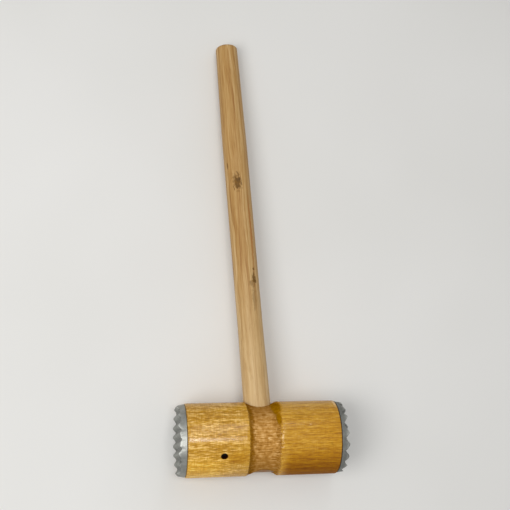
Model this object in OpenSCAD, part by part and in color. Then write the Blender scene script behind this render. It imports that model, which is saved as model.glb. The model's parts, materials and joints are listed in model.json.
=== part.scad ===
// Wooden meat mallet, lying on its side as it rests on a table.
// X runs along the head, from the fine face to the coarse face. Y runs towards the grip, and Z is up.
// The origin is on the table, under the middle of the whole mallet. Lengths are in millimetres.

/* [Barrel] */
// Diameter of the turned wooden head
barrel_d = 55; // [48:0.5:66]
// Length of the wooden head between the two metal faces
barrel_len = 114.6; // [104:0.2:140]
// Radius of the softened edge at each end of the barrel
barrel_edge_round = 1.2; // [0.6:0.1:2.5]
// Width of the waist groove at the barrel's surface
waist_top_w = 25; // [22:0.5:32]
// Width of the waist groove between the feet of its steep walls
waist_foot_w = 19.2; // [16:0.2:21]
// Share of the groove's depth that its steep walls take
waist_wall_share = 0.62; // [0.4:0.02:0.8]
// Width of the flat floor in the middle of the waist groove
waist_floor_w = 8; // [4:0.5:14]
// Depth of the waist groove
waist_depth = 2.2; // [1:0.1:5]

/* [Handle] */
// Distance from the barrel's axis to the grip end of the handle
handle_reach = 318; // [270:1:360]
// Sideways lean of the handle towards the fine face, in degrees
handle_lean = 3.1; // [0:0.1:5]
// Diameter of the tenon that goes through the barrel
tenon_d = 20.6; // [18:0.1:23]
// Diameter of the straight middle of the handle
shaft_d = 19.7; // [16:0.1:23]
// Diameter of the handle at its grip end
grip_end_d = 17.8; // [14:0.1:22]
// Distance from the barrel's axis to the start of the straight middle
shaft_start = 90; // [60:1:110]
// Length of the straight middle
shaft_len = 145; // [80:1:155]
// Radius of the rounded edge at the grip end
grip_end_round = 2.5; // [1:0.1:5]
// Depth of the tenon's sawn end below the floor of the waist
tenon_recess = 0.5; // [0:0.1:2]
// Play between the tenon and the eye, on the radius
eye_clearance = 0.1; // [0.05:0.01:0.3]

/* [Wedge] */
// Length of the wedge driven into the tenon
wedge_len = 26; // [16:0.5:34]
// Thickness of the wedge at its driven end
wedge_butt_t = 3.4; // [2.4:0.1:5]
// Thickness of the wedge at its inner end
wedge_tip_t = 1; // [0.6:0.1:2]
// Play between the wedge and each side of its kerf
wedge_clearance = 0.05; // [0.02:0.01:0.2]

/* [Metal faces] */
// Step from the barrel's surface in to the rim of the metal faces
face_inset = 0.5; // [0.2:0.1:2]
// Softened edge where the rim meets the back of a metal face
face_back_round = 0.6; // [0.3:0.1:1.2]
// Thickness of the fine face under its teeth
fine_base_t = 4.2; // [2:0.1:7]
// Height of the fine teeth
fine_tooth_h = 2.2; // [1:0.1:3]
// Distance between the fine teeth
fine_pitch = 6.8; // [5:0.1:9]
// Width of the blunt tip of a fine tooth
fine_tip_w = 1.3; // [0.8:0.1:2]
// Thickness of the coarse face under its teeth
coarse_base_t = 2.8; // [2:0.1:7]
// Height of the coarse teeth
coarse_tooth_h = 3.6; // [2:0.1:5]
// Distance between the coarse teeth
coarse_pitch = 9.4; // [8:0.1:14]
// Turn of the coarse teeth's rows about the barrel's axis, in degrees
coarse_turn = 27.4; // [0:0.1:90]
// Width of the blunt tip of a coarse tooth
coarse_tip_w = 1.7; // [1:0.1:3]
// Width of the flat valley floor between teeth
valley_w = 0.7; // [0.3:0.1:1.2]
// Diameter of the cast stem that holds a face in the barrel
stem_d = 16; // [12:0.5:22]
// Length of the stem beyond its locking pin
stem_past_pin = 6.5; // [4:0.5:9]
// Play between the stem and its bore, on the radius
stem_clearance = 0.1; // [0.05:0.01:0.3]
// Room left at the bottom of the stem's bore
stem_bore_spare = 1; // [0.5:0.1:3]

/* [Locking pins] */
// Diameter of the steel pins that lock the stems
pin_d = 4; // [3:0.1:5]
// Play between a pin and its hole, on the radius
pin_clearance = 0.1; // [0.05:0.01:0.3]
// Distance of the pins from the ends of the barrel
pin_from_end = 26.7; // [16:0.1:28]
// Angle of the fine face's pin from straight up, away from the handle, in degrees
pin_angle = 28; // [0:1:60]
// Depth of the pin's driven end below the barrel's surface
pin_sunk = 4; // [1:0.1:8]
// Length of the pin that bites into the wood beyond the stem
pin_past_stem = 8; // [5:0.5:12]
// Length of the pin's point
pin_point_len = 5; // [2:0.5:5]

/* [Hidden] */
$fn = 96;
// Overrun of every cutting shape, so that no cut ends on a surface
cut = 1;

barrel_r = barrel_d / 2;
waist_r = barrel_r - waist_depth;
waist_foot_r = barrel_r - waist_wall_share * waist_depth;
tenon_r = tenon_d / 2;
tenon_end = waist_r - tenon_recess;
grip_end_r = grip_end_d / 2;
// The last stretch before the grip end is straight, so that its rounded edge meets it smoothly
grip_end_straight = 2 * grip_end_round;
wedge_half_slope = (wedge_butt_t - wedge_tip_t) / 2 / wedge_len;

face_r = barrel_r - face_inset;
fine_t = fine_base_t + fine_tooth_h;
coarse_t = coarse_base_t + coarse_tooth_h;
stem_r = stem_d / 2;
stem_len = pin_from_end + stem_past_pin;
pin_r = pin_d / 2;
pin_hole_r = pin_r + pin_clearance;
pin_hole_end = stem_r + pin_past_stem;

// Slope of the handle on the table: the barrel and the rounded grip end both touch it
round_reach = handle_reach - grip_end_round;
round_r = grip_end_r - grip_end_round;
slope = asin((barrel_r - grip_end_round) / norm([round_reach, round_r])) - atan2(round_r, round_reach);
rest_tilt = asin(sin(slope) / cos(handle_lean));

// Middle of the mallet on the table, seen from the barrel's axis
handle_y = cos(handle_lean) * cos(rest_tilt);
far_y = round_reach * handle_y + round_r * sqrt(1 - handle_y * handle_y) + grip_end_round;
middle_y = (far_y - barrel_r) / 2;
middle_x = (coarse_t - fine_t) / 2;

// From the mallet's own axes, with the barrel along X and the handle in the XY plane, to its rest on
// the table
module at_rest() {
    translate([-middle_x, -middle_y, barrel_r]) rotate([-rest_tilt, 0, 0]) children();
}

// Along the handle: Z runs from the barrel's axis to the grip end
module along_handle() {
    rotate([0, 0, handle_lean]) rotate([-90, 0, 0]) children();
}

// At one end of the barrel: Z points out of the end, side is -1 for the fine end and 1 for the coarse end
module at_barrel_end(side) {
    translate([side * barrel_len / 2, 0, 0]) rotate([0, side * 90, 0]) children();
}

// Along a locking pin: Z runs from the barrel's axis to the driven end
module along_pin(side) {
    turn = side < 0 ? pin_angle : 180 - pin_angle;
    translate([side * (barrel_len / 2 - pin_from_end), 0, 0]) rotate([turn, 0, 0]) children();
}

// Waste that rounds off a corner at the origin. The solid lies towards -X, and towards -Y where end is 1
// or +Y where end is -1
module corner_waste(r, end) {
    low = end < 0 ? -(r + cut) : 0;
    translate([-r, -end * r]) difference() {
        translate([0, low]) square(r + cut);
        circle(r);
    }
}

// Half section of the turned barrel, with its axis along Y
module barrel_section() {
    difference() {
        polygon([
            [0, -barrel_len / 2],
            [barrel_r, -barrel_len / 2],
            [barrel_r, -waist_top_w / 2],
            [waist_foot_r, -waist_foot_w / 2],
            [waist_r, -waist_floor_w / 2],
            [waist_r, waist_floor_w / 2],
            [waist_foot_r, waist_foot_w / 2],
            [barrel_r, waist_top_w / 2],
            [barrel_r, barrel_len / 2],
            [0, barrel_len / 2]
        ]);
        for (end = [-1, 1])
            translate([barrel_r, end * barrel_len / 2]) corner_waste(barrel_edge_round, end);
    }
}

module pin_hole(side) {
    along_pin(side) translate([0, 0, -pin_hole_end])
        cylinder(r = pin_hole_r, h = pin_hole_end + barrel_r + cut);
}

module head_barrel() {
    stem_bore_len = stem_len + stem_bore_spare;
    color("goldenrod") at_rest() difference() {
        rotate([0, 90, 0]) rotate_extrude() barrel_section();
        along_handle() cylinder(r = tenon_r + eye_clearance, h = 2 * barrel_d, center = true);
        for (side = [-1, 1]) {
            at_barrel_end(side) translate([0, 0, -stem_bore_len])
                cylinder(r = stem_r + stem_clearance, h = stem_bore_len + cut);
            pin_hole(side);
        }
    }
}

// Waste at the tenon's sawn end, which follows the round of the waist
module tenon_waste() {
    difference() {
        translate([-barrel_r, -barrel_d, -barrel_r]) cube(barrel_d);
        rotate([0, 90, 0]) cylinder(r = tenon_end, h = 2 * barrel_d, center = true);
    }
}

// Half section of the turned handle, with its axis along Y and its tenon overlong
module handle_section() {
    difference() {
        polygon([
            [0, -barrel_r],
            [tenon_r, -barrel_r],
            [tenon_r, barrel_r],
            [shaft_d / 2, shaft_start],
            [shaft_d / 2, shaft_start + shaft_len],
            [grip_end_r, handle_reach - grip_end_straight],
            [grip_end_r, handle_reach],
            [0, handle_reach]
        ]);
        translate([grip_end_r, handle_reach]) corner_waste(grip_end_round, 1);
    }
}

// Wedge section across the barrel, overlong at the tenon's sawn end and grown by play on each side
module wedge_section(play) {
    over = barrel_r + cut - tenon_end;
    butt = wedge_butt_t / 2 + play + over * wedge_half_slope;
    tip = wedge_tip_t / 2 + play;
    low = -tenon_end - over;
    high = wedge_len - tenon_end;
    polygon([[-butt, low], [butt, low], [tip, high], [-tip, high]]);
}

// Solid of the wedge section, across the whole tenon
module wedge_solid(play) {
    rotate([90, 0, 0]) linear_extrude(height = tenon_d + 2 * cut, center = true) wedge_section(play);
}

module handle() {
    color("burlywood") at_rest() difference() {
        along_handle() difference() {
            rotate_extrude() handle_section();
            wedge_solid(wedge_clearance);
        }
        tenon_waste();
    }
}

module handle_wedge() {
    color("peru") at_rest() difference() {
        along_handle() intersection() {
            wedge_solid(0);
            cylinder(r = tenon_r, h = 3 * barrel_d, center = true);
        }
        tenon_waste();
    }
}

// Valley between two rows of teeth: its floor is on the X axis, and it runs on past the tips
module valley_section(tooth_h, pitch, tip_w) {
    floor_half = valley_w / 2;
    tip_half = (pitch - tip_w) / 2;
    top = tooth_h + cut;
    top_half = floor_half + (tip_half - floor_half) * top / tooth_h;
    polygon([[-floor_half, 0], [floor_half, 0], [top_half, top], [-top_half, top]]);
}

// Cast face with its back on the plane Z = 0 and its teeth towards +Z: a disc cut by two crossing sets
// of valleys, so that every tooth is a blunt pyramid and those at the rim are trimmed round
module toothed_face(base_t, tooth_h, pitch, tip_w, rows_turn) {
    rows = ceil(face_r / pitch);
    difference() {
        union() {
            rotate_extrude() difference() {
                square([face_r, base_t + tooth_h]);
                translate([face_r, 0]) corner_waste(face_back_round, -1);
            }
            translate([0, 0, -stem_len]) cylinder(r = stem_r, h = stem_len + base_t / 2);
        }
        for (turn = [0, 90], row = [-rows : rows])
            rotate([0, 0, rows_turn + turn]) translate([row * pitch, 0, base_t]) rotate([90, 0, 0])
                linear_extrude(height = 2 * (face_r + cut), center = true)
                    valley_section(tooth_h, pitch, tip_w);
    }
}

module fine_face() {
    color("darkgray") at_rest() difference() {
        at_barrel_end(-1) toothed_face(fine_base_t, fine_tooth_h, fine_pitch, fine_tip_w, 0);
        pin_hole(-1);
    }
}

module coarse_face() {
    color("darkgray") at_rest() difference() {
        at_barrel_end(1)
            toothed_face(coarse_base_t, coarse_tooth_h, coarse_pitch, coarse_tip_w, coarse_turn);
        pin_hole(1);
    }
}

// Pointed steel pin, driven through the stem and sunk below the barrel's surface
module locking_pin(side) {
    along_pin(side) rotate_extrude() polygon([
        [0, -pin_hole_end],
        [pin_r, pin_point_len - pin_hole_end],
        [pin_r, barrel_r - pin_sunk],
        [0, barrel_r - pin_sunk]
    ]);
}

module fine_face_pin() {
    color("dimgray") at_rest() locking_pin(-1);
}

module coarse_face_pin() {
    color("dimgray") at_rest() locking_pin(1);
}

head_barrel();
handle();
handle_wedge();
fine_face();
coarse_face();
fine_face_pin();
coarse_face_pin();
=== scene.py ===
"""Meat mallet lying on a pale floor: turned wooden barrel, dowel handle and two cast, toothed faces."""
import json
import math
from collections import namedtuple

import bmesh
import bpy
import numpy as np
from mathutils import Euler, Matrix, Vector, noise


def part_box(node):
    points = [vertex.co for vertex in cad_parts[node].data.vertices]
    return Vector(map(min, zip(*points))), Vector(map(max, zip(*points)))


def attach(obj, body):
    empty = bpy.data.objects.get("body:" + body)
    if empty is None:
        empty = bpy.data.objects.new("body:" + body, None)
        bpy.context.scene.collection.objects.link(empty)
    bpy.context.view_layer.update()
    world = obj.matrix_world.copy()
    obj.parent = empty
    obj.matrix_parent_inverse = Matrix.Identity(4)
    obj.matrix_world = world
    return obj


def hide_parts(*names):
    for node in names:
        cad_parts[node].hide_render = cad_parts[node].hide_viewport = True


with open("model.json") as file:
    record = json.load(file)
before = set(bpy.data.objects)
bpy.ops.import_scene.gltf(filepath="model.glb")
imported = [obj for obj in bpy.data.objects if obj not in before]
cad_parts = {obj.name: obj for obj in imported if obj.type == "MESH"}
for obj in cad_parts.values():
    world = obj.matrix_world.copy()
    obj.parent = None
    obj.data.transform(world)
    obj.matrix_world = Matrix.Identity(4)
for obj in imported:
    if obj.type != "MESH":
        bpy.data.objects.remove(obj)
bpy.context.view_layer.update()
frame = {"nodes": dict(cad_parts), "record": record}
mounts = {mount["name"]: mount for mount in frame["record"]["mounts"]}

# Lengths are in millimetres up to the point where a mesh is placed in the frame.
MM = 0.001

# Turned barrel: rounded ends, and the groove round its middle as half widths
END_ROUND = 1.2
GROOVE_TOP = 12.5
GROOVE_BEND = 9.6
GROOVE_DEPTH = 2.2
WALL_SHARE = 0.62

# Rings of the barrel's mesh: fine steps in the groove and about the pin holes, coarse ones elsewhere
BARREL_SEGMENTS = 448
END_RINGS = 7
FINE_STEP = 0.34
COARSE_STEP = 1.25
GROOVE_ZONE = GROOVE_TOP + 2.5
HOLE_ZONE = 3.6

# How deep the unevenness and the wear go into the barrel; left is the half with the fine face
WAVES_DEEP = 0.05
FIBRE_DEEP = 0.035
RASP_DEEP = 0.09
RASP_LINES_DEEP = 0.05
RASP_LIMIT = 0.4
CHIPS_HALF = 0.8
CHIPS_DEEP_LEFT = 0.25
CHIPS_DEEP_RIGHT = 0.55
WORN_DEEP = 0.22
BREAK_DEEP = 0.7
TORN_DEEP = 0.28
LIP_DEEP = 0.12

# Holes in the barrel
EYE_R = 10.4
EYE_HALF_LEN = 40.0
EYE_SEGMENTS = 192
EYE_RAGGED = 0.05
STEM_BORE_R = 8.1
STEM_BORE_LEN = 34.2
STEM_BORE_OVER = 1.0
PIN_HOLE_R = 2.1
PIN_HOLE_DEEP = 16.0
PIN_HOLE_OVER = 2.0
PIN_HOLE_SEGMENTS = 64
PIN_HOLE_RAGGED = 0.16
DRILL_STEP = 1.5

# The mouth of a pin hole in hole radii, and the radius within which its wall is found
HOLE_RIM = 1.22
HOLE_STRETCH = 1.22
HOLE_WALL = 2.4

# Dowel handle, along its own axis from the middle of the barrel
TENON_R = 10.3
TENON_ROUND = 24.8
TENON_START = -21.5
TAPER_START = 27.5
TAPER_BLEND = 4.0
SHAFT_START = 90.0
SHAFT_END = 235.0
SHAFT_R = 9.85
GRIP_R = 8.9
GRIP_STRAIGHT = 5.0
GRIP_ROUND = 2.5
GRIP_RINGS = 9
SAWN_RINGS = (0.03, 0.3, 0.6, 0.85, 0.985, 1.0)
HANDLE_SEGMENTS = 160
HANDLE_STEP = 0.9

# How deep the unevenness goes into the handle
HANDLE_WAVES_DEEP = 0.10
HANDLE_FLATS_DEEP = 0.08
HANDLE_FIBRE_DEEP = 0.03
PATCH_DEEP = 0.35
KNOT_DEEP = 0.30

# Slot for the wedge
KERF_BUTT = 3.5
KERF_TIP = 1.1
KERF_LEN = 26.0
KERF_OVER = 2.0
KERF_HALF_WIDTH = 12.0

# Cast faces
FACE_INSET = 0.5
FACE_DRAFT = 0.8
FACE_BACK_ROUND = 0.35
FACE_EDGE_ROUND = 0.35
FACE_BACK_RINGS = (8.5, 14.0, 20.0)
FACE_RIM_RINGS = 12
FACE_SEGMENTS = 480
FACE_STEP = 0.28
STEM_R = 8.0
STEM_LEN = 33.2
STEM_CHAMFER = 0.4
STEM_RINGS = 20
CAST_ROUGHNESS = 0.10
CAST_SAG = 0.22
CAST_SHARP = 70
# Ring on the front of a face, measured inwards from its edge, over which the worn rim begins
RIM_START = 0.5
RIM_FULL = 0.2
# Turns of the rings round a rounded edge
QUARTER_TURN = np.linspace(0, math.pi / 2, 5)[1:]

# Teeth: thickness under them, their height, spacing and tip width, and the turn of their rows
Teeth = namedtuple("Teeth", "base height pitch tip turn")
FINE_TEETH = Teeth(4.2, 2.2, 6.8, 1.3, 0.0)
COARSE_TEETH = Teeth(2.8, 3.6, 9.4, 1.7, math.radians(27.4))
VALLEY_W = 0.7
TOOTH_BLUR = 0.2
BLUR_WEIGHTS = {-2: 1 / 16, -1: 4 / 16, 0: 6 / 16, 1: 4 / 16, 2: 1 / 16}

# Fall of strength and of size from one layer of noise to the next
NOISE_FALL = 1.0
NOISE_GAP = 2.0


def linear(red, green, blue):
    """Shader colour from the usual 0 to 255 values."""
    channels = [value / 255 for value in (red, green, blue)]
    curve = [c / 12.92 if c <= 0.04045 else ((c + 0.055) / 1.055) ** 2.4 for c in channels]
    return (*curve, 1.0)


class Line:
    """Straight axis with the directions across it. Local points are (up, side, along), in millimetres."""

    def __init__(self, origin, along):
        self.origin = Vector(origin)
        along = Vector(along).normalized()
        side = along.cross(Vector((0, 0, 1))).normalized()
        up = side.cross(along)
        self.turn = Matrix((up, side, along)).transposed()

    def world(self, points):
        return points @ np.array(self.turn).T * MM + np.array(self.origin)

    def local(self, points):
        return (points - np.array(self.origin)) @ np.array(self.turn) / MM

    def round(self, along, angle, radius):
        """Local points on circles about the axis; the angle runs from up towards the side."""
        along, angle, radius = np.broadcast_arrays(along, angle, radius)
        return np.stack([radius * np.cos(angle), radius * np.sin(angle), along], axis=-1)


head_low, head_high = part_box("head_barrel")
head_mid = (head_low + head_high) / 2
HEAD_R = (head_high.z - head_low.z) / 2 / MM
HEAD_HALF = (head_high.x - head_low.x) / 2 / MM
head_line = Line(head_mid, (1, 0, 0))
handle_aim = mounts["handle_shaft"]["axis"]
handle_line = Line(head_mid, handle_aim)
REST_TILT = math.atan2(-handle_aim[2], handle_aim[1])
FACE_R = HEAD_R - FACE_INSET
FACE_FRONT_R = FACE_R - FACE_DRAFT
HANDLE_REACH = handle_line.local(np.array(mounts["handle_end"]["pos_m"]))[2]


def mesh_points(mesh):
    points = np.empty(len(mesh.vertices) * 3, dtype=np.float32)
    mesh.vertices.foreach_get("co", points)
    return points.reshape(-1, 3).astype(float)


# A locking pin: its axis from the barrel's axis outwards, its place along the barrel and its angle
Pin = namedtuple("Pin", "line along angle")
# Share of a pin's reach beyond which points belong to its driven end
DRIVEN_END = 0.98


def find_pin(node):
    points = head_line.local(mesh_points(frame["nodes"][node].data))
    along = points[:, 2].mean()
    across = points[:, :2]
    far = across[np.hypot(*across.T).argmax()]
    reach = across @ far
    top = across[reach > DRIVEN_END * reach.max()].mean(axis=0)
    start = head_line.world(np.array([0, 0, along]))
    end = head_line.world(np.array([top[0], top[1], along]))
    return Pin(Line(start, end - start), along, math.atan2(top[1], top[0]))


fine_pin = find_pin("fine_face_pin")
coarse_pin = find_pin("coarse_face_pin")
PINS = (fine_pin, coarse_pin)


def grain_noise(points, size, seed, octaves=2):
    """Noise of about -1 to 1 at local points; size is the length of a feature along each local axis."""
    scaled = points.reshape(-1, 3) / np.array(size) + seed
    values = [noise.fractal(point, NOISE_FALL, NOISE_GAP, octaves) for point in scaled.tolist()]
    return np.array(values).reshape(points.shape[:-1])


def grain_share(points, size, seed, octaves=2):
    """The same noise, from about 0 to 1."""
    return 0.5 + 0.5 * grain_noise(points, size, seed, octaves)


def ease(value, low, high):
    """Smooth step from 0 at low to 1 at high."""
    share = np.clip((value - low) / (high - low), 0, 1)
    return share * share * (3 - 2 * share)


def turn_between(angle, other):
    """Turn from another angle to an angle, the short way round."""
    return (angle - other + math.pi) % (2 * math.pi) - math.pi


def near_marks(along, angle, radius, marks, full, none, ragged=0.0):
    """1 near marks on a round surface and 0 away from them.

    Distances from a mark are in its own half sizes: the share is 1 up to full and 0 from none on. Ragged is
    added to the distance.
    """
    away = []
    for mark_along, mark_angle, half_len, half_width in marks:
        turn = turn_between(angle, math.radians(mark_angle))
        away.append(np.hypot((along - mark_along) / half_len, turn * radius / half_width))
    return 1 - ease(np.minimum.reduce(away) + ragged, full, none)


def mark_mesh(mesh, layers):
    """Stores named values at the vertices, for the material."""
    for name, values in layers.items():
        layer = mesh.attributes.new(name, "FLOAT", "POINT")
        layer.data.foreach_set("value", np.clip(values, 0, 1).astype(np.float32))


def add_object(name, data):
    piece = bpy.data.objects.new(name, data)
    bpy.context.scene.collection.objects.link(piece)
    return piece


def circle(segments):
    """Angles of evenly spaced places round an axis."""
    return np.linspace(0, 2 * math.pi, segments, endpoint=False)


def fan(middle, ring):
    """Triangles from a middle point to the edges of a ring."""
    return [(middle, first, second) for first, second in zip(ring.tolist(), np.roll(ring, -1).tolist())]


def lathe(name, line, rings):
    """Closed solid through rings of local points; the first and last ring are closed by a fan."""
    count, segments, _ = rings.shape
    middles = np.stack([rings[0].mean(axis=0), rings[-1].mean(axis=0)])
    points = line.world(np.vstack([rings.reshape(-1, 3), middles]))
    index = np.arange(count * segments).reshape(count, segments)
    here = index[:-1]
    there = index[1:]
    sides = np.stack([here, np.roll(here, -1, 1), np.roll(there, -1, 1), there], axis=-1).reshape(-1, 4)
    first = [(middle, after, before) for middle, before, after in fan(count * segments, index[0])]
    last = fan(count * segments + 1, index[-1])
    mesh = bpy.data.meshes.new(name)
    mesh.from_pydata(points.tolist(), [], sides.tolist() + first + last)
    return add_object(name, mesh)


def end_places(end, radius, count):
    """Places of the rings on a rounded end, from the end inwards."""
    return end - radius * (1 - np.cos(np.linspace(0, math.pi / 2, count)))


def corner_loss(from_end, radius):
    """How much a rounded edge takes off the radius of a piece, by the distance from its end."""
    inside = radius - np.clip(from_end, 0, radius)
    return radius - np.sqrt(radius**2 - inside**2)


def settle(piece):
    """Turns a piece's modifiers into plain mesh."""
    bpy.context.view_layer.update()
    shown = piece.evaluated_get(bpy.context.evaluated_depsgraph_get())
    old = piece.data
    mesh = bpy.data.meshes.new_from_object(shown)
    piece.modifiers.clear()
    piece.data = mesh
    bpy.data.meshes.remove(old)
    mesh.name = piece.name


def carve(piece, cutters):
    """Cuts closed solids out of a piece and removes them."""
    for cutter in cutters:
        cut = piece.modifiers.new("cut", "BOOLEAN")
        cut.operation = "DIFFERENCE"
        cut.solver = "MANIFOLD"
        cut.object = cutter
    settle(piece)
    for cutter in cutters:
        mesh = cutter.data
        bpy.data.objects.remove(cutter)
        bpy.data.meshes.remove(mesh)


def smooth_shade(piece, sharp=38):
    """Smooth shading; edges that turn by more than sharp degrees stay sharp."""
    mesh = piece.data
    mesh.polygons.foreach_set("use_smooth", [True] * len(mesh.polygons))
    mesh.set_sharp_from_angle(angle=math.radians(sharp))
    mesh.update()


def drill(name, line, radius, start, end, segments=96, ragged=0.0, seed=0.0):
    """Round cutter along a line; ragged is how far its wall wanders."""
    along = np.linspace(start, end, max(2, int((end - start) / DRILL_STEP)))[:, None]
    angle = circle(segments)
    points = line.round(along, angle, radius)
    if ragged:
        wander = grain_noise(points, (radius, radius, 3.0), seed=seed)
        points = line.round(along, angle, radius + ragged * wander)
    return lathe(name, line, points)


# Barrel

# Place along the barrel where the noise of each edge of the groove is read
EDGE_SAMPLE = 40.0

# Marks on the barrel: along it, angle from up away from the handle in degrees, half sizes along and across
BREAKS = ((10.2, -64.0, 4.6, 13.0), (10.9, -35.0, 2.2, 7.0))
TORN_SPOTS = (
    (9.8, -16.0, 1.4, 1.1), (9.4, -5.4, 1.6, 1.5), (10.8, 5.0, 0.9, 2.6), (8.9, 22.7, 3.0, 0.6),
    (-7.0, 3.0, 2.4, 0.4), (-8.4, -46.0, 1.3, 2.4), (-8.2, -30.0, 1.0, 1.8), (-8.6, -15.0, 0.9, 1.3),
)
DARK_STREAKS = (
    (29.1, -38.8, 8.0, 0.6), (24.0, -33.5, 5.0, 0.5), (48.8, -9.0, 1.6, 0.7), (48.8, 9.0, 1.4, 0.8),
)
# Pale spots: painted glints on the groove's floor, on its right edge and on the right half, and a pale end
# edge at the right end, partly worn and partly a painted highlight.
GLINTS_AND_WORN_EDGE = (
    (55.6, -67.5, 1.3, 7.0), (33.6, -21.8, 0.7, 0.7), (12.7, -3.7, 0.7, 2.6), (2.2, -1.6, 0.9, 0.8),
)
SMOOTH_PATCH = (-20.5, 28.0, 10.0, 6.0)


def by_side(along, left, right):
    """One value on the half with the fine face, another on the half with the coarse face."""
    return np.where(along > 0, right, left)


def groove_share(along, angle):
    """How far a place on the barrel is down the wall of the groove: 0 on the surface, 1 on the floor."""
    along, angle = np.broadcast_arrays(along, angle)
    ring = head_line.round(np.sign(along) * EDGE_SAMPLE, angle, HEAD_R)
    slow = by_side(along, left=0.3, right=0.45) * grain_noise(ring, (9.0, 9.0, 9.0), seed=3.1)
    quick = by_side(along, left=0.35, right=0.55) * grain_noise(ring, (1.7, 1.7, 1.7), seed=7.7)
    edge = GROOVE_TOP + slow + quick
    wall = np.clip((edge - np.abs(along)) / (GROOVE_TOP - GROOVE_BEND), 0, 1)
    floor = 1 - np.clip(np.abs(along) / GROOVE_BEND, 0, 1) ** 2
    return WALL_SHARE * (wall + ease(wall, 0, 1)) / 2 + (1 - WALL_SHARE) * floor


def break_share(along, angle):
    """1 in the middle of the broken-out place beside the handle, 0 outside it."""
    return near_marks(along, angle, HEAD_R, BREAKS, full=0.6, none=1.1)


def ragged_noise(spots):
    """Fine wander of the edges of the marks, about -1 to 1."""
    return grain_noise(spots, (0.8, 0.8, 0.8), seed=3.7)


def torn_share(along, angle, ragged):
    """1 in the small torn spots on the walls of the groove, 0 outside them."""
    return near_marks(along, angle, HEAD_R, TORN_SPOTS, full=0.55, none=1.15, ragged=0.5 * ragged)


def hole_distance(along, angle, pin):
    """Distance on the barrel's surface from a pin hole's middle, in hole radii; the grain draws it out."""
    turn = turn_between(angle, pin.angle)
    return np.hypot((along - pin.along) / HOLE_STRETCH, turn * HEAD_R) / PIN_HOLE_R


def barrel_radius(along, angle):
    along, angle = np.broadcast_arrays(along, angle)
    spots = head_line.round(along, angle, HEAD_R)
    from_end = HEAD_HALF - np.abs(along)
    waves = WAVES_DEEP * grain_share(spots, (26.0, 26.0, 7.0), seed=1.3)
    fibre = FIBRE_DEEP * grain_share(spots, (1.1, 1.1, 16.0), seed=5.9)
    share = groove_share(along, angle)
    rasp = RASP_DEEP * grain_noise(spots, (3.4, 3.4, 3.2), seed=9.4)
    rasp_lines = RASP_LINES_DEEP * grain_noise(spots, (0.9, 0.9, 3.5), seed=2.2)
    rasp = np.clip(rasp + rasp_lines, -RASP_LIMIT, RASP_LIMIT)
    groove = share * (GROOVE_DEPTH + rasp * ease(share, 0.1, 0.6))
    at_edge = np.exp(-(((np.abs(along) - GROOVE_TOP) / CHIPS_HALF) ** 2))
    chips = at_edge * by_side(along, left=CHIPS_DEEP_LEFT, right=CHIPS_DEEP_RIGHT)
    chips = chips * ease(grain_noise(spots, (2.4, 2.4, 2.4), seed=4.4), 0.16, 0.42)
    rounding = corner_loss(from_end, END_ROUND)
    worn = WORN_DEEP * np.exp(-from_end / END_ROUND) * grain_share(spots, (3.0, 3.0, 3.0), seed=6.1)
    splinters = 0.8 + 0.6 * grain_noise(spots, (2.0, 2.0, 5.0), seed=8.2)
    broken = np.maximum(BREAK_DEEP * break_share(along, angle) * splinters, 0)
    torn = TORN_DEEP * torn_share(along, angle, ragged_noise(spots))
    loss = waves + fibre + groove + chips + rounding + worn + torn + broken
    for pin in PINS:
        loss = loss + LIP_DEEP * (1 - ease(hole_distance(along, angle, pin), 0.95, HOLE_RIM))
    return HEAD_R - loss


def barrel_stations():
    """Places of the rings along the barrel: close together at the rounded ends and in the groove."""
    arc = end_places(HEAD_HALF, END_ROUND, END_RINGS)
    hole = abs(fine_pin.along)
    near_hole = np.arange(hole - HOLE_ZONE, hole + HOLE_ZONE, FINE_STEP)
    plain = np.arange(arc[-1] - COARSE_STEP / 2, GROOVE_ZONE, -COARSE_STEP)
    plain = plain[np.abs(plain - hole) > HOLE_ZONE + FINE_STEP]
    outer = np.sort(np.concatenate([arc, plain, near_hole]))[::-1]
    inner = np.arange(-GROOVE_ZONE, GROOVE_ZONE, FINE_STEP)
    return np.concatenate([-outer, inner, outer[::-1]])


def pin_hole(name, pin, seed):
    """Cutter for a pin's hole in the barrel."""
    over = HEAD_R + PIN_HOLE_OVER
    return drill(name, pin.line, PIN_HOLE_R, -PIN_HOLE_DEEP, over, PIN_HOLE_SEGMENTS, PIN_HOLE_RAGGED, seed)


def make_barrel():
    along = barrel_stations()[:, None]
    angle = circle(BARREL_SEGMENTS)
    piece = lathe("barrel_turned", head_line, head_line.round(along, angle, barrel_radius(along, angle)))
    over = HEAD_HALF + STEM_BORE_OVER
    cutters = [
        drill("eye", handle_line, EYE_R, -EYE_HALF_LEN, EYE_HALF_LEN, EYE_SEGMENTS, EYE_RAGGED, seed=2.0),
        drill("stem_bore_low", head_line, STEM_BORE_R, -over, STEM_BORE_LEN - HEAD_HALF),
        drill("stem_bore_high", head_line, STEM_BORE_R, HEAD_HALF - STEM_BORE_LEN, over),
        pin_hole("fine_pin_hole", fine_pin, seed=1.0),
        pin_hole("coarse_pin_hole", coarse_pin, seed=5.0),
    ]
    carve(piece, cutters)
    smooth_shade(piece)
    mark_barrel(piece.data)
    return piece


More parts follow.
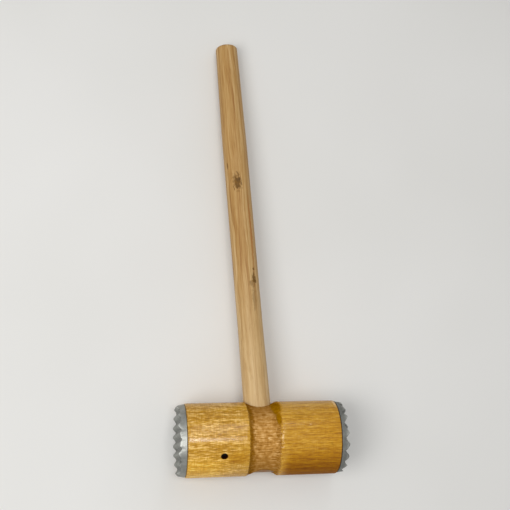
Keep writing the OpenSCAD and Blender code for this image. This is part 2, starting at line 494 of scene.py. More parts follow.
def stain_and_shade_share(world, spots, along, angle, ragged):
    """1 where the wood is darker: painted shade on the walls of the groove, inside the holes and round the
    joint with the handle, and real marks: torn spots and streaks.
    """
    share = groove_share(along, angle)
    wall_foot = share + 0.16 * grain_noise(spots, (2.4, 2.4, 2.0), seed=5.3)
    # Painted shade on the groove's walls, strongest on the left one.
    flank = ease(share, 0.02, 0.2) * (1 - ease(wall_foot, 0.60, 0.86)) * by_side(along, left=1.0, right=0.45)
    flank = flank * (0.85 + 0.15 * grain_share(spots, (6.0, 6.0, 2.5), seed=1.9))
    # Painted shade inside the holes.
    depth = HEAD_R - np.hypot(spots[:, 0], spots[:, 1])
    inside = ease(depth, GROOVE_DEPTH + 0.6, GROOVE_DEPTH + 1.6)
    # Painted shade round the joint with the handle.
    from_eye = np.hypot(*handle_line.local(world)[:, :2].T) - EYE_R
    eye_rim = 0.5 * (1 - ease(from_eye, 0.2, 1.4))
    torn = 0.85 * torn_share(along, angle, ragged)
    streaks = 0.55 * near_marks(along, angle, HEAD_R, DARK_STREAKS, full=0.4, none=1.2, ragged=0.6 * ragged)
    return np.maximum.reduce([flank, inside, eye_rim, torn, streaks])


def hole_share(world, along, angle):
    """1 on the mouths and walls of the pin holes, 0 elsewhere."""
    share = np.zeros(len(along))
    for pin in PINS:
        # Painted shade over the mouth of the pin hole, reaching a little past its rim.
        mouth = 1 - ease(hole_distance(along, angle, pin), 0.92, HOLE_RIM)
        reach = pin.line.local(world)
        wall = (np.hypot(reach[:, 0], reach[:, 1]) < HOLE_WALL) & (reach[:, 2] > 0)
        share = np.maximum.reduce([share, mouth, wall])
    return share


def colour_zones(along, angle):
    """Shares of the slow changes of colour over the barrel: the right half's orange-brown tone with painted
    shade towards its bottom, painted light on the lower side of the left half, painted shade on the groove's
    floor away from its top, and the left half's flecks.
    """
    degrees = np.degrees(angle)
    over = 1 - ease(np.abs(degrees), 115, 170)
    below = ease(degrees, 4, 58) * over
    above = ease(-degrees, 18, 58) * over
    near_rim = ease(along, 32.0, 52.0) * (1 - below)
    smooth = near_marks(along, angle, HEAD_R, (SMOOTH_PATCH,), full=0.4, none=1.2)
    # Orange-brown tone of the right half, and painted shade that grows towards the bottom of the right half.
    amber_and_painted_shade = ease(along, 10.0, 20.0) * (0.14 - 0.14 * above + 0.86 * below + 0.12 * near_rim)
    behind = ease(np.abs(degrees), 62, 100)
    calm = ease(degrees, -8, 20) * over
    flecked = ease(-along, 8.0, 22.0) * (1 - 0.15 * calm) * (1 - 0.5 * behind) * (1 - 0.6 * smooth)
    return {
        "amber_and_painted_shade": np.maximum(amber_and_painted_shade, 0.38 * smooth),
        # Painted light: the lower side of the left half is made brighter and more golden.
        "painted_light_low_left": ease(-along, 18.0, 42.0) * ease(degrees, 18, 46) * over,
        "shade": ease(np.abs(degrees), 12, 58),
        "flecked": flecked,
    }


def mark_barrel(mesh):
    """Stores where the wood is bare, broken or flecked, where it has marks or pale worn spots, and where
    shade, glints and light are painted on it, for the barrel's material.
    """
    world = mesh_points(mesh)
    spots = head_line.local(world)
    angle = np.arctan2(spots[:, 1], spots[:, 0])
    along = spots[:, 2]
    ragged = ragged_noise(spots)
    # Painted shade in the joint between the barrel and each face, with darker end grain; stronger at the
    # coarse face's end.
    ends = 1 - ease(HEAD_HALF - np.abs(along) + 0.2 * ragged, 0.35, 0.95)
    layers = {
        "bare": ease(groove_share(along, angle), 0.05, 0.5),
        "stain_and_shade": stain_and_shade_share(world, spots, along, angle, ragged),
        "hole": hole_share(world, along, angle),
        "ends": ends * by_side(along, left=0.45, right=1.0),
        "broken": break_share(along, angle),
        # Painted glints, and a pale end edge that is partly worn.
        "pale": 0.65 * near_marks(along, angle, HEAD_R, GLINTS_AND_WORN_EDGE, full=0.4, none=1.1, ragged=0.4 * ragged),
    }
    layers.update(colour_zones(along, angle))
    mark_mesh(mesh, layers)


# Handle

# Marks on the handle: along it, angle from up towards +X in degrees, half sizes along and across
PATCH = (199.9, -12, 9.2, 4.8)
KNOT = (122.0, 29, 5.0, 2.0)
KNOT_FOOT = (119.3, 36, 2.0, 1.7)
KNOT_SIDE = (117.9, 18, 3.6, 3.6)
KNOT_TAIL = (106.5, 22, 13.0, 2.3)
SMALL_MARK = (214.0, -57, 3.2, 0.9)
DOT = (129.2, 30, 1.3, 1.1)
RED_STREAK = (158.0, 36, 34.0, 1.7)


def handle_radius(along, angle):
    along, angle = np.broadcast_arrays(along, angle)
    grip_start = HANDLE_REACH - GRIP_STRAIGHT
    places = [-TENON_ROUND, TAPER_START, SHAFT_START, SHAFT_END, grip_start, HANDLE_REACH]
    plain = np.interp(along, places, [TENON_R, TENON_R, SHAFT_R, SHAFT_R, GRIP_R, GRIP_R])
    spots = handle_line.round(along, angle, SHAFT_R)
    waves = HANDLE_WAVES_DEEP * grain_share(spots, (14.0, 14.0, 38.0), seed=3.3)
    flats = HANDLE_FLATS_DEEP * grain_share(spots, (5.0, 5.0, 90.0), seed=6.6, octaves=1)
    fibre = HANDLE_FIBRE_DEEP * grain_share(spots, (0.9, 0.9, 14.0), seed=1.7)
    rough = grain_share(spots, (1.2, 1.2, 2.0), seed=4.9)
    patch = PATCH_DEEP * rough * near_marks(along, angle, SHAFT_R, (PATCH,), full=0.6, none=1.2)
    knot = KNOT_DEEP * rough * near_marks(along, angle, SHAFT_R, (KNOT,), full=0.5, none=1.2)
    outside = ease(along, TAPER_START - TAPER_BLEND, TAPER_START + TAPER_BLEND)
    loss = outside * (waves + flats + patch + knot) + fibre
    return plain - loss - corner_loss(HANDLE_REACH - along, GRIP_ROUND)


def tenon_end(angle, radius):
    """Place along the handle of its sawn end, which is round as the waist is, on circles about its axis."""
    turn = np.array(handle_line.turn)
    across = (handle_line.round(0.0, angle, radius) @ turn.T)[..., 1:]
    aim = turn[1:, 2]
    half = across @ aim
    rest = (across**2).sum(axis=-1) - TENON_ROUND**2
    return (-half - np.sqrt(half**2 - aim @ aim * rest)) / (aim @ aim)


def make_handle():
    arc = end_places(HANDLE_REACH, GRIP_ROUND, GRIP_RINGS)
    plain = np.arange(TENON_START, arc[-1] - HANDLE_STEP / 2, HANDLE_STEP)
    along = np.concatenate([plain, arc[::-1]])[:, None]
    angle = circle(HANDLE_SEGMENTS)
    sides = handle_line.round(along, angle, handle_radius(along, angle))
    end_radius = handle_radius(TENON_START, angle) * np.array(SAWN_RINGS)[:, None]
    sawn = handle_line.round(tenon_end(angle, end_radius), angle, end_radius)
    piece = lathe("handle_dowel", handle_line, np.concatenate([sawn, sides]))
    carve(piece, [kerf_cutter()])
    smooth_shade(piece)
    return piece


def kerf_cutter():
    """Tapered slot for the wedge, across the whole tenon and open at its sawn end."""
    slope = (KERF_BUTT - KERF_TIP) / 2 / KERF_LEN
    butt = (-TENON_ROUND - KERF_OVER, KERF_BUTT / 2 + KERF_OVER * slope)
    tip = (KERF_LEN - TENON_ROUND, KERF_TIP / 2)
    corners = [(side * half, end) for end, half in (butt, tip) for side in (-1, 1)]
    edges = (-KERF_HALF_WIDTH, KERF_HALF_WIDTH)
    points = np.array([(across, half, end) for across in edges for half, end in corners])
    faces = [(0, 1, 3, 2), (4, 6, 7, 5), (0, 4, 5, 1), (2, 3, 7, 6), (0, 2, 6, 4), (1, 5, 7, 3)]
    mesh = bpy.data.meshes.new("kerf")
    mesh.from_pydata(handle_line.world(points).tolist(), [], faces)
    shape = bmesh.new()
    shape.from_mesh(mesh)
    bmesh.ops.recalc_face_normals(shape, faces=shape.faces)
    shape.to_mesh(mesh)
    shape.free()
    return add_object("kerf", mesh)


# Cast faces


def ridge(place, teeth):
    """Height share across one set of valleys: 0 on a valley's floor, 1 on the tips."""
    away = np.abs((place + teeth.pitch / 2) % teeth.pitch - teeth.pitch / 2)
    return np.clip((away - VALLEY_W / 2) / ((teeth.pitch - teeth.tip - VALLEY_W) / 2), 0, 1)


def tooth_share(up, side, end, teeth):
    """Height share of the blunt pyramids at a place on a face, with the blurred edges of a casting."""
    handle_way = -side * math.cos(REST_TILT) - up * math.sin(REST_TILT)
    upright = -side * math.sin(REST_TILT) + up * math.cos(REST_TILT)
    across = -end * upright * math.cos(teeth.turn) + handle_way * math.sin(teeth.turn)
    down = end * upright * math.sin(teeth.turn) + handle_way * math.cos(teeth.turn)
    total = 0.0
    for row_step, row_weight in BLUR_WEIGHTS.items():
        row = ridge(across + row_step * TOOTH_BLUR, teeth)
        for step, weight in BLUR_WEIGHTS.items():
            column = ridge(down + step * TOOTH_BLUR, teeth)
            total = total + row_weight * weight * np.minimum(row, column)
    return total


def face_rings(end, teeth):
    """Rings of local points over a whole face: stem, back, rim and teeth."""
    angle = circle(FACE_SEGMENTS)

    def front(radius):
        raised = tooth_share(radius * np.cos(angle), radius * np.sin(angle), end, teeth)
        return teeth.base + teeth.height * raised

    profile = [(STEM_R / 2, -STEM_LEN), (STEM_R - STEM_CHAMFER, -STEM_LEN)]
    profile += [(STEM_R, depth) for depth in np.linspace(STEM_CHAMFER - STEM_LEN, 0, STEM_RINGS)]
    profile += [(radius, 0.0) for radius in (*FACE_BACK_RINGS, FACE_R - FACE_BACK_ROUND)]
    for turn in QUARTER_TURN:
        radius = FACE_R - FACE_BACK_ROUND * (1 - math.sin(turn))
        profile.append((radius, FACE_BACK_ROUND * (1 - math.cos(turn))))
    rise = front(FACE_FRONT_R) - FACE_EDGE_ROUND - FACE_BACK_ROUND
    for share in np.linspace(0, 1, FACE_RIM_RINGS)[1:]:
        profile.append((FACE_R - FACE_DRAFT * share, FACE_BACK_ROUND + share * rise))
    for turn in QUARTER_TURN:
        radius = FACE_FRONT_R - FACE_EDGE_ROUND * (1 - math.cos(turn))
        profile.append((radius, front(radius) - FACE_EDGE_ROUND * (1 - math.sin(turn))))
    inner = np.arange(FACE_FRONT_R - FACE_EDGE_ROUND - FACE_STEP, FACE_STEP / 2, -FACE_STEP)
    profile += [(radius, front(radius)) for radius in inner]
    return np.stack([head_line.round(end * (HEAD_HALF + depth), angle, radius) for radius, depth in profile])


def make_cast(name, end, teeth, pin, seed):
    """Cast face on one end of the barrel, -1 or 1: slightly uneven teeth and a grainy skin."""
    rings = face_rings(end, teeth)
    piece = lathe(name, head_line, rings if end > 0 else rings[::-1])
    carve(piece, [drill("stem_hole", pin.line, PIN_HOLE_R, -PIN_HOLE_DEEP, HEAD_R + PIN_HOLE_OVER)])
    mesh = piece.data
    points = mesh_points(mesh)
    normals = np.empty(points.size, dtype=np.float32)
    mesh.vertex_normals.foreach_get("vector", normals)
    spots = head_line.local(points)
    skin = CAST_ROUGHNESS * grain_share(spots, (1.4, 1.4, 1.4), seed=seed, octaves=3)
    sag = CAST_SAG * grain_share(spots, (7.0, 7.0, 7.0), seed=seed + 3, octaves=1)
    moved = points - normals.reshape(-1, 3) * ((skin + sag) * MM)[:, None]
    mesh.vertices.foreach_set("co", moved.astype(np.float32).ravel())
    smooth_shade(piece, CAST_SHARP)
    depth = end * spots[:, 2] - HEAD_HALF
    rim = ease(np.hypot(spots[:, 0], spots[:, 1]), FACE_FRONT_R - RIM_START, FACE_FRONT_R - RIM_FULL)
    mark_mesh(mesh, {"raised": (depth - teeth.base) / teeth.height, "rim": rim})
    return piece


# Materials

# Sockets of the colour mix node, where several share a name
MIX_SHARE = 0
MIX_FIRST = 6
MIX_SECOND = 7
MIX_COLOUR = 2
# Radians that the wave texture turns through in each unit of length
WAVE_TURN = 20


class Look:
    """A material and short names for the nodes that it is made of."""

    def __init__(self, name):
        self.material = bpy.data.materials.new(name)
        self.material.use_nodes = True
        self.tree = self.material.node_tree
        self.shader = self.tree.nodes["Principled BSDF"]

    def add(self, kind, inputs=None, **settings):
        made = self.tree.nodes.new(kind)
        for name, value in settings.items():
            setattr(made, name, value)
        self.fill(made, inputs or {})
        return made

    def fill(self, made, inputs):
        for name, value in inputs.items():
            if isinstance(value, bpy.types.NodeSocket):
                self.tree.links.new(value, made.inputs[name])
            else:
                made.inputs[name].default_value = value

    def finish(self, **inputs):
        self.fill(self.shader, {name.replace("_", " "): value for name, value in inputs.items()})
        return self.material

    def local(self, line):
        """Place on the object in a line's local millimetres."""
        where = self.add("ShaderNodeTexCoord").outputs["Object"]
        inputs = {"Vector": where, "Location": line.origin}
        inputs["Rotation"] = line.turn.to_euler()
        inputs["Scale"] = (MM, MM, MM)
        return self.add("ShaderNodeMapping", inputs, vector_type="TEXTURE").outputs["Vector"]

    def maths(self, operation, first, second=0.0, clamp=False):
        inputs = {0: first, 1: second}
        return self.add("ShaderNodeMath", inputs, operation=operation, use_clamp=clamp).outputs[0]

    def vector(self, operation, first, second):
        return self.add("ShaderNodeVectorMath", {0: first, 1: second}, operation=operation).outputs[0]

    def length(self, where):
        return self.add("ShaderNodeVectorMath", {0: where}, operation="LENGTH").outputs["Value"]

    def part(self, where, axis):
        return self.add("ShaderNodeSeparateXYZ", {0: where}).outputs[axis]

    def noise(self, where, size, detail=2.0, output=0):
        """Noise of 0 to 1; size is the length of a feature along each axis."""
        scaled = self.vector("MULTIPLY", where, [1 / length for length in size])
        inputs = {"Vector": scaled, "Scale": 1.0, "Detail": detail}
        return self.add("ShaderNodeTexNoise", inputs).outputs[output]

    def wander(self, where, size, reach):
        """The place, moved about by slow noise of a given reach in millimetres."""
        drift = self.vector("SUBTRACT", self.noise(where, size, output=1), (0.5, 0.5, 0.5))
        return self.vector("ADD", where, self.vector("MULTIPLY", drift, [2 * length for length in reach]))

    def rings(self, where, pith, spacing, distortion):
        """Growth rings about a line beside the axis."""
        moved = self.vector("SUBTRACT", where, (*pith, 0.0))
        inputs = {"Vector": moved, "Scale": 2 * math.pi / WAVE_TURN / spacing, "Distortion": distortion}
        inputs["Detail"] = 1.0
        inputs["Detail Scale"] = 0.6
        settings = {"wave_type": "RINGS", "rings_direction": "Z", "wave_profile": "SAW"}
        return self.add("ShaderNodeTexWave", inputs, **settings).outputs["Fac"]

    def between(self, value, low, high):
        """Smooth step from 0 at low to 1 at high."""
        inputs = {"Value": value, "From Min": low, "From Max": high}
        return self.add("ShaderNodeMapRange", inputs, interpolation_type="SMOOTHSTEP").outputs["Result"]

    def spread(self, share, low, high):
        """A share of 0 to 1, drawn out to run from low to high."""
        inputs = {"Value": share, "To Min": low, "To Max": high}
        return self.add("ShaderNodeMapRange", inputs).outputs["Result"]

    def weighted(self, *pairs):
        """Sum of values, each times its weight."""
        total = None
        for value, weight in pairs:
            term = self.maths("MULTIPLY", value, weight)
            total = term if total is None else self.maths("ADD", total, term)
        return total

    def ramp(self, value, *stops):
        made = self.add("ShaderNodeValToRGB", {"Fac": value})
        line = made.color_ramp
        while len(line.elements) < len(stops):
            line.elements.new(0.5)
        for element, (place, colour) in zip(line.elements, stops):
            element.position = place
            element.color = colour
        return made.outputs["Color"]

    def blend(self, base, share, colour, kind="MIX"):
        """A colour laid over a base, by its share."""
        made = self.add("ShaderNodeMix", data_type="RGBA", blend_type=kind, clamp_result=True)
        self.fill(made, {MIX_SHARE: share, MIX_FIRST: base, MIX_SECOND: colour})
        return made.outputs[MIX_COLOUR]

    def tint(self, base, share, depth, colour):
        """A colour laid over a base, as deep as given where its share is 1."""
        return self.blend(base, self.maths("MULTIPLY", share, depth), colour)

    def attribute(self, name):
        return self.add("ShaderNodeAttribute", attribute_name=name).outputs["Fac"]

    def bump(self, height, distance, strength=1.0):
        inputs = {"Height": height, "Distance": distance * MM, "Strength": strength}
        return self.add("ShaderNodeBump", inputs).outputs["Normal"]


# Colours laid over the barrel's wood, and factors that its colour is multiplied by
PLAIN_GOLD = linear(192, 136, 26)
DASH_BROWN = linear(150, 92, 0)
FLECK_GROUND = linear(191, 137, 24)
GAP_BROWN = linear(136, 89, 0)
TICK_BROWN = linear(150, 102, 4)
FLECK_PALE = linear(250, 208, 122)
# Painted light: the gold and the factor that brighten the lower side of the left half.
PAINTED_LIGHT_GOLD = linear(246, 198, 72)
PAINTED_LIGHT_FACTOR = (1.34, 1.34, 1.08, 1.0)
# Factors for the right half's orange-brown tone; the second also paints shade towards the bottom of the right
# half.
AMBER_CLEAR_FACTOR = (1.0, 0.90, 0.10, 1.0)
AMBER_AND_SHADE_FACTOR = (0.50, 0.38, 0.1, 1.0)
SHADED_BARE = linear(146, 98, 34)
# Pale of the painted glints and of the worn end edge.
GLINT_AND_WEAR_PALE = linear(244, 208, 150)
# Brown of the barrel's ends: darker end grain and painted shade in the joints with the faces.
END_GRAIN_AND_SHADE_BROWN = linear(74, 42, 10)
# Near black of the painted shade in the pin holes.
HOLE_SHADE_BLACK = linear(40, 13, 5)


def barrel_wood():
    look = Look("barrel_wood")
    spot = look.local(head_line)
    grain = look.wander(spot, (30, 30, 90), (1.3, 1.3, 0))
    rings = look.rings(grain, (9.0, -16.0), spacing=2.4, distortion=0.7)
    streaks = look.noise(grain, (0.95, 0.95, 13), detail=3.0)
    fibre = look.noise(grain, (0.5, 0.5, 4.5))
    ticks = look.noise(spot, (7.0, 7.0, 1.1))
    dashes = look.between(look.noise(grain, (0.65, 0.65, 6.0), detail=1.0), 0.53, 0.66)
    rows = look.noise(grain, (0.53, 0.53, 4.6))
    bands = look.noise(grain, (2.6, 2.6, 16.0))
    turning = look.noise(spot, (7.0, 7.0, 0.7), detail=1.0)
    weave = look.weighted((rows, 0.60), (bands, 0.26), (turning, 0.14))

    # Varnished wood, from plain on the right half to flecked on the left, with painted light on the lower
    # side of the left half and painted shade towards the bottom of the right half
    flecked = look.attribute("flecked")
    gold = look.ramp(
        look.weighted((rings, 0.12), (streaks, 0.55), (fibre, 0.55), (ticks, 0.18)),
        (0.50, linear(150, 96, 0)),
        (0.68, linear(196, 142, 22)),
        (0.78, linear(214, 163, 46)),
        (0.96, linear(236, 194, 96)),
    )
    gold = look.blend(gold, look.spread(flecked, 0.18, 0.0), PLAIN_GOLD)
    gold = look.tint(gold, dashes, 0.25, DASH_BROWN)
    gold = look.tint(gold, flecked, 0.6, FLECK_GROUND)
    gaps = look.maths("MULTIPLY", look.between(weave, 0.485, 0.38), flecked)
    gold = look.tint(gold, gaps, 0.7, GAP_BROWN)
    gold = look.tint(gold, look.between(ticks, 0.52, 0.68), look.spread(flecked, 0.14, 0.24), TICK_BROWN)
    gold = look.tint(gold, look.between(weave, 0.495, 0.62), look.spread(flecked, 0.3, 0.95), FLECK_PALE)
    # Painted light on the lower side of the left half.
    painted_light_low_left = look.attribute("painted_light_low_left")
    gold = look.tint(gold, painted_light_low_left, 0.12, PAINTED_LIGHT_GOLD)
    gold = look.blend(gold, painted_light_low_left, PAINTED_LIGHT_FACTOR, "MULTIPLY")
    # Orange-brown tone of the right half, with painted shade towards its bottom.
    amber_and_painted_shade = look.attribute("amber_and_painted_shade")
    gold = look.blend(gold, look.maths("MULTIPLY", amber_and_painted_shade, 2.0, clamp=True), AMBER_CLEAR_FACTOR, "MULTIPLY")
    gold = look.blend(gold, amber_and_painted_shade, AMBER_AND_SHADE_FACTOR, "MULTIPLY")

    # Bare wood in the groove, stains and marks, painted shade and painted glints
    rasped = look.noise(spot, (4.0, 4.0, 3.0), detail=3.0)
    bare = look.ramp(
        look.weighted((streaks, 0.5), (fibre, 0.45), (rasped, 0.4)),
        (0.48, linear(120, 72, 6)),
        (0.67, linear(188, 136, 66)),
        (0.86, linear(232, 187, 122)),
    )
    bare = look.tint(bare, look.attribute("shade"), 0.5, SHADED_BARE)
    colour = look.blend(gold, look.attribute("bare"), bare)
    # One brown for stains and torn spots and for the painted shade on the groove's walls, in the holes and at
    # the handle's joint.
    stain_and_shade_brown = look.ramp(fibre, (0.3, linear(108, 66, 0)), (0.7, linear(152, 100, 0)))
    colour = look.tint(colour, look.attribute("stain_and_shade"), 0.9, stain_and_shade_brown)
    # Darker olive brown over the broken-out place beside the handle.
    break_brown = look.ramp(fibre, (0.3, linear(124, 80, 0)), (0.7, linear(170, 118, 0)))
    colour = look.tint(colour, look.attribute("broken"), 0.95, break_brown)
    # Painted glints, and the pale end edge at the right end.
    colour = look.blend(colour, look.attribute("pale"), GLINT_AND_WEAR_PALE)
    # Painted shade and darker end grain at the barrel's ends.
    colour = look.tint(colour, look.attribute("ends"), 0.85, END_GRAIN_AND_SHADE_BROWN)
    # Painted shade: the pin holes' mouths and walls are made near black.
    colour = look.blend(colour, look.attribute("hole"), HOLE_SHADE_BLACK)

    # Relief and varnish
    relief = look.weighted((streaks, 0.4), (fibre, 0.4), (ticks, 0.7), (dashes, -0.4))
    normal = look.bump(relief, distance=0.10)
    gloss = look.weighted((turning, 1.0), (rows, 0.25))
    gloss_normal = look.bump(gloss, distance=0.045, strength=look.spread(flecked, 0.25, 1.0))
    dull = look.maths("MULTIPLY", amber_and_painted_shade, 0.8)
    for name in ("bare", "stain_and_shade", "broken", "hole"):
        dull = look.maths("MAXIMUM", dull, look.attribute(name))
    coat = look.maths("MULTIPLY", look.maths("SUBTRACT", 1.0, dull), 0.62)
    look.finish(Base_Color=colour, Roughness=look.spread(streaks, 0.34, 0.52), Normal=normal)
    look.finish(Coat_Weight=coat, Coat_Roughness=0.17, Coat_IOR=1.6, Coat_Normal=gloss_normal)
    return look.finish(Specular_IOR_Level=0.0)


PORE_BROWN = linear(124, 80, 38)
STREAK_RED = linear(168, 104, 40)
# How far noise wanders the edge of a mark on the handle, and the distances at which the mark is full and gone
MARK_WANDER = 1.6
MARK_FULL = 1.25
MARK_GONE = 1.75


def mark_share(look, spot, mark, ragged):
    """Share of a mark at a place on the handle: 1 in its middle, 0 outside."""
    along, angle, half_len, half_width = mark
    turn = math.radians(angle)
    middle = (SHAFT_R * math.cos(turn), SHAFT_R * math.sin(turn), along)
    away = look.vector("SUBTRACT", spot, middle)
    away = look.vector("MULTIPLY", away, (1 / half_width, 1 / half_width, 1 / half_len))
    wander = look.maths("MULTIPLY", ragged, MARK_WANDER)
    return look.between(look.maths("ADD", look.length(away), wander), MARK_GONE, MARK_FULL)


def handle_wood():
    look = Look("handle_wood")
    spot = look.local(handle_line)
    along = look.part(spot, 2)
    grain = look.wander(spot, (16, 16, 110), (3.5, 3.5, 0))
    rings = look.rings(grain, (-14.0, 9.0), spacing=3.6, distortion=1.4)
    streaks = look.noise(grain, (1.6, 1.6, 60), detail=3.0)
    fibre = look.noise(grain, (0.5, 0.5, 15))
    pores = look.between(look.noise(grain, (0.36, 0.36, 6.0), detail=1.0), 0.62, 0.74)
    tone = look.weighted((rings, 0.22), (streaks, 0.78), (fibre, 0.46))
    tan = look.ramp(
        tone,
        (0.46, linear(148, 102, 48)),
        (0.66, linear(174, 133, 75)),
        (0.84, linear(191, 154, 99)),
        (1.00, linear(208, 176, 126)),
    )
    pale = look.ramp(
        tone,
        (0.46, linear(180, 143, 92)),
        (0.72, linear(200, 167, 116)),
        (1.00, linear(216, 187, 139)),
    )
    near_head = look.between(along, 162.0, 22.0)
    colour = look.blend(tan, near_head, pale)
    colour = look.tint(colour, pores, 0.25, PORE_BROWN)

    # Knots and stains
    ragged = look.noise(spot, (1.1, 1.1, 2.6), detail=3.0)
    strokes = look.noise(spot, (0.7, 0.7, 4.5))
    brown = look.ramp(strokes, (0.36, linear(76, 48, 0)), (0.66, linear(126, 86, 20)))
    marks = (
        (RED_STREAK, 0.55, STREAK_RED), (KNOT_TAIL, 0.35, brown), (KNOT_SIDE, 0.5, brown), (KNOT, 0.9, brown),
        (KNOT_FOOT, 0.85, brown), (PATCH, 0.95, brown), (SMALL_MARK, 0.85, brown), (DOT, 0.85, brown),
    )
    for mark, depth, mark_colour in marks:
        colour = look.tint(colour, mark_share(look, spot, mark, ragged), depth, mark_colour)

    # Sawn end of the tenon
    from_axis = look.length(look.vector("MULTIPLY", look.local(head_line), (1, 1, 0)))
    at_end = look.between(from_axis, TENON_ROUND - 0.6, TENON_ROUND - 0.1)
    sawn = look.maths("MULTIPLY", look.maths("LESS_THAN", along, 0.0), at_end)
    saw_lines = look.noise(spot, (0.5, 9.0, 9.0))
    end_grain = look.ramp(
        look.weighted((rings, 0.5), (fibre, 0.35), (saw_lines, 0.3)),
        (0.25, linear(96, 62, 20)),
        (0.65, linear(138, 94, 38)),
        (0.95, linear(164, 118, 58)),
    )
    colour = look.tint(colour, sawn, 0.9, end_grain)
    normal = look.bump(look.weighted((streaks, 0.5), (fibre, 0.5), (pores, -0.4)), distance=0.10)
    rough = look.spread(fibre, 0.42, 0.60)
    return look.finish(Base_Color=colour, Roughness=rough, Normal=normal, Specular_IOR_Level=0.3)


def wedge_wood():
    look = Look("wedge_wood")
    spot = look.local(handle_line)
    fibre = look.noise(spot, (0.5, 0.5, 9), detail=3.0)
    saw_lines = look.noise(spot, (6, 6, 0.4), detail=1.0)
    colour = look.ramp(fibre, (0.3, linear(124, 82, 40)), (0.7, linear(166, 118, 66)))
    normal = look.bump(look.weighted((fibre, 0.6), (saw_lines, 0.4)), distance=0.12)
    return look.finish(Base_Color=colour, Roughness=0.7, Normal=normal)


def cast_metal(name, painted_brightness, rough):
    """Cast aluminium; the brightness factor scales its colour, as painted light on the fine face and painted
    shade on the coarse one; rough is how dull it is at least.
    """
    look = Look(name)
    spot = look.local(head_line)
    sand = look.noise(spot, (0.5, 0.5, 0.5), detail=3.0)
    cloud = look.noise(spot, (5.0, 5.0, 5.0), detail=3.0)
    worn = ((look.attribute("raised"), 0.35), (look.attribute("rim"), 0.25))
    colour = look.ramp(
        look.weighted((sand, 0.35), (cloud, 0.4), *worn),
        (0.28, linear(82, 83, 79)),
        (0.52, linear(124, 125, 120)),
        (0.72, linear(152, 153, 148)),
        (0.94, linear(186, 187, 182)),
    )
    colour = look.blend(colour, 1.0, (painted_brightness, painted_brightness, painted_brightness, 1.0), "MULTIPLY")
    clouded = look.maths("ADD", look.maths("MULTIPLY", cloud, 0.2), rough)
    normal = look.bump(look.weighted((sand, 0.7), (cloud, 0.3)), distance=0.08)
    return look.finish(Base_Color=colour, Metallic=1.0, Roughness=clouded, Normal=normal)


def pin_steel():
    look = Look("pin_steel")
    spot = look.local(head_line)
    rust = look.between(look.noise(spot, (1.2, 1.2, 1.2), detail=4.0), 0.42, 0.6)
    # Rusty steel kept near black: partly its own colour, partly painted shade at the bottom of its hole.
    colour = look.blend(linear(34, 30, 29), rust, linear(26, 14, 7))
    metal = look.maths("SUBTRACT", 1.0, rust)
    rough = look.spread(rust, 0.45, 0.85)
    normal = look.bump(look.noise(spot, (0.4, 0.4, 0.4)), distance=0.08)
    return look.finish(Base_Color=colour, Metallic=metal, Roughness=rough, Normal=normal)


# Stage

# Lengths here are in metres, the camera's turn in degrees, its lens and its sensor in millimetres
FLOOR_HALF = 3.0
FADE_START = 0.35
FADE_END = 1.2
FILL_LEVEL = 0.36
BACK_LEVEL = 0.70
CAMERA_PLACE = (-0.1273, -0.12884, 0.7557)
CAMERA_TURN = (9.782, -9.653, -1.359)
CAMERA_LENS = 67.94
CAMERA_SENSOR = 36.0
# Lamps: place, the point that it is aimed at, the two sides of its rectangle, and its power in watts
LAMPS = {
    "window": ((-0.62, -0.22, 0.98), (0, 0, 0), 0.6, 0.6, 5.5),
    "ceiling_lamp": ((-0.06, -0.09, 1.2), (0, -0.09, 0), 0.21, 0.36, 3.3),
    "far_lamp": ((0.16, 0.62, 1.2), (0, -0.1, 0), 0.17, 0.9, 1.5),
}


def seen_share(tree):
    """1 for rays that show the background to the camera, also in a reflection; 0 for fill light."""
    path = tree.nodes.new("ShaderNodeLightPath")
    seen = path.outputs["Is Camera Ray"]
    for name in ("Is Glossy Ray", "Is Transmission Ray"):
        either = tree.nodes.new("ShaderNodeMath")
        either.operation = "MAXIMUM"
        tree.links.new(seen, either.inputs[0])
        tree.links.new(path.outputs[name], either.inputs[1])
        seen = either.outputs[0]
    return seen


def make_floor():
    """Pale floor that runs into the background without an edge."""
    mesh = bpy.data.meshes.new("floor")
    corners = [(x * FLOOR_HALF, y * FLOOR_HALF, 0.0) for x, y in ((-1, -1), (1, -1), (1, 1), (-1, 1))]
    mesh.from_pydata(corners, [], [(0, 1, 2, 3)])
    floor = add_object("floor", mesh)
    look = Look("floor_paint")
    where = look.add("ShaderNodeTexCoord").outputs["Object"]
    cloud = look.noise(where, (0.2, 0.2, 0.2))
    colour = look.ramp(cloud, (0.2, linear(222, 221, 217)), (0.8, linear(230, 229, 226)))
    mesh.materials.append(look.finish(Base_Color=colour, Roughness=0.9))
    away = look.between(look.length(where), FADE_START, FADE_END)
    share = look.maths("MULTIPLY", away, seen_share(look.tree))
    haze = look.add("ShaderNodeEmission", {"Strength": BACK_LEVEL}).outputs["Emission"]
    mixed = look.add("ShaderNodeMixShader", {0: share, 1: look.shader.outputs["BSDF"], 2: haze})
    look.fill(look.tree.nodes["Material Output"], {"Surface": mixed.outputs["Shader"]})
    look.material.cycles.emission_sampling = "NONE"


def add_lamp(name, place, aim, width, height, power):
    data = bpy.data.lights.new(name, "AREA")
    data.shape = "RECTANGLE"
    data.size = width
    data.size_y = height
    data.energy = power
    lamp = add_object(name, data)
    lamp.location = place
    lamp.rotation_euler = (Vector(aim) - Vector(place)).to_track_quat("-Z", "Y").to_euler()


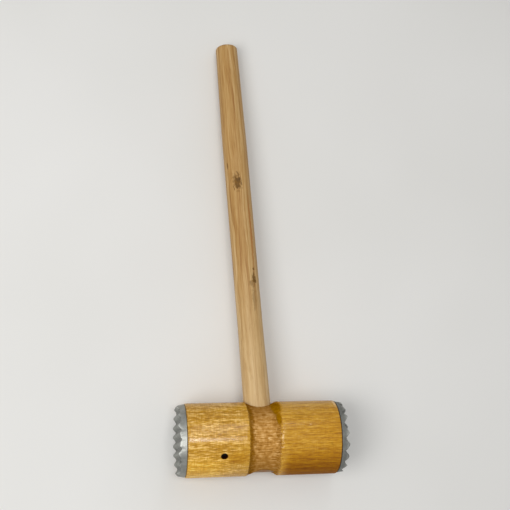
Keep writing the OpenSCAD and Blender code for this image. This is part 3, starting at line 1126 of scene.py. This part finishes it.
def make_world():
    """Even fill light; rays that see the background itself find it paler."""
    world = bpy.data.worlds.new("studio")
    bpy.context.scene.world = world
    world.use_nodes = True
    tree = world.node_tree
    tree.nodes.clear()
    level = tree.nodes.new("ShaderNodeMapRange")
    level.inputs["To Min"].default_value = FILL_LEVEL
    level.inputs["To Max"].default_value = BACK_LEVEL
    tree.links.new(seen_share(tree), level.inputs["Value"])
    sky = tree.nodes.new("ShaderNodeBackground")
    sky.inputs["Color"].default_value = (1, 1, 1, 1)
    tree.links.new(level.outputs["Result"], sky.inputs["Strength"])
    out = tree.nodes.new("ShaderNodeOutputWorld")
    tree.links.new(sky.outputs["Background"], out.inputs["Surface"])


def make_camera():
    data = bpy.data.cameras.new("camera")
    data.lens = CAMERA_LENS
    data.sensor_width = CAMERA_SENSOR
    camera = add_object("camera", data)
    camera.location = CAMERA_PLACE
    camera.rotation_euler = Euler([math.radians(turn) for turn in CAMERA_TURN], "XYZ")
    bpy.context.scene.camera = camera


def paint(piece, material):
    piece.data.materials.clear()
    piece.data.materials.append(material)


def dress(piece, node, material):
    """Puts a finished piece in place of its CAD node."""
    paint(piece, material)
    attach(piece, "root")
    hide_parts(node)


bpy.context.scene.view_settings.view_transform = "Standard"
make_camera()
make_world()
make_floor()
for name, lamp in LAMPS.items():
    add_lamp(name, *lamp)

dress(make_barrel(), "head_barrel", barrel_wood())
dress(make_handle(), "handle", handle_wood())
# The same cast metal, painted brighter on the fine face and darker on the coarse face.
fine_cast = make_cast("fine_face_cast", -1, FINE_TEETH, fine_pin, seed=11.0)
dress(fine_cast, "fine_face", cast_metal("fine_cast", painted_brightness=1.12, rough=0.36))
coarse_cast = make_cast("coarse_face_cast", 1, COARSE_TEETH, coarse_pin, seed=23.0)
dress(coarse_cast, "coarse_face", cast_metal("coarse_cast", painted_brightness=0.82, rough=0.54))
paint(frame["nodes"]["handle_wedge"], wedge_wood())
steel = pin_steel()
for node in ("fine_face_pin", "coarse_face_pin"):
    paint(frame["nodes"][node], steel)
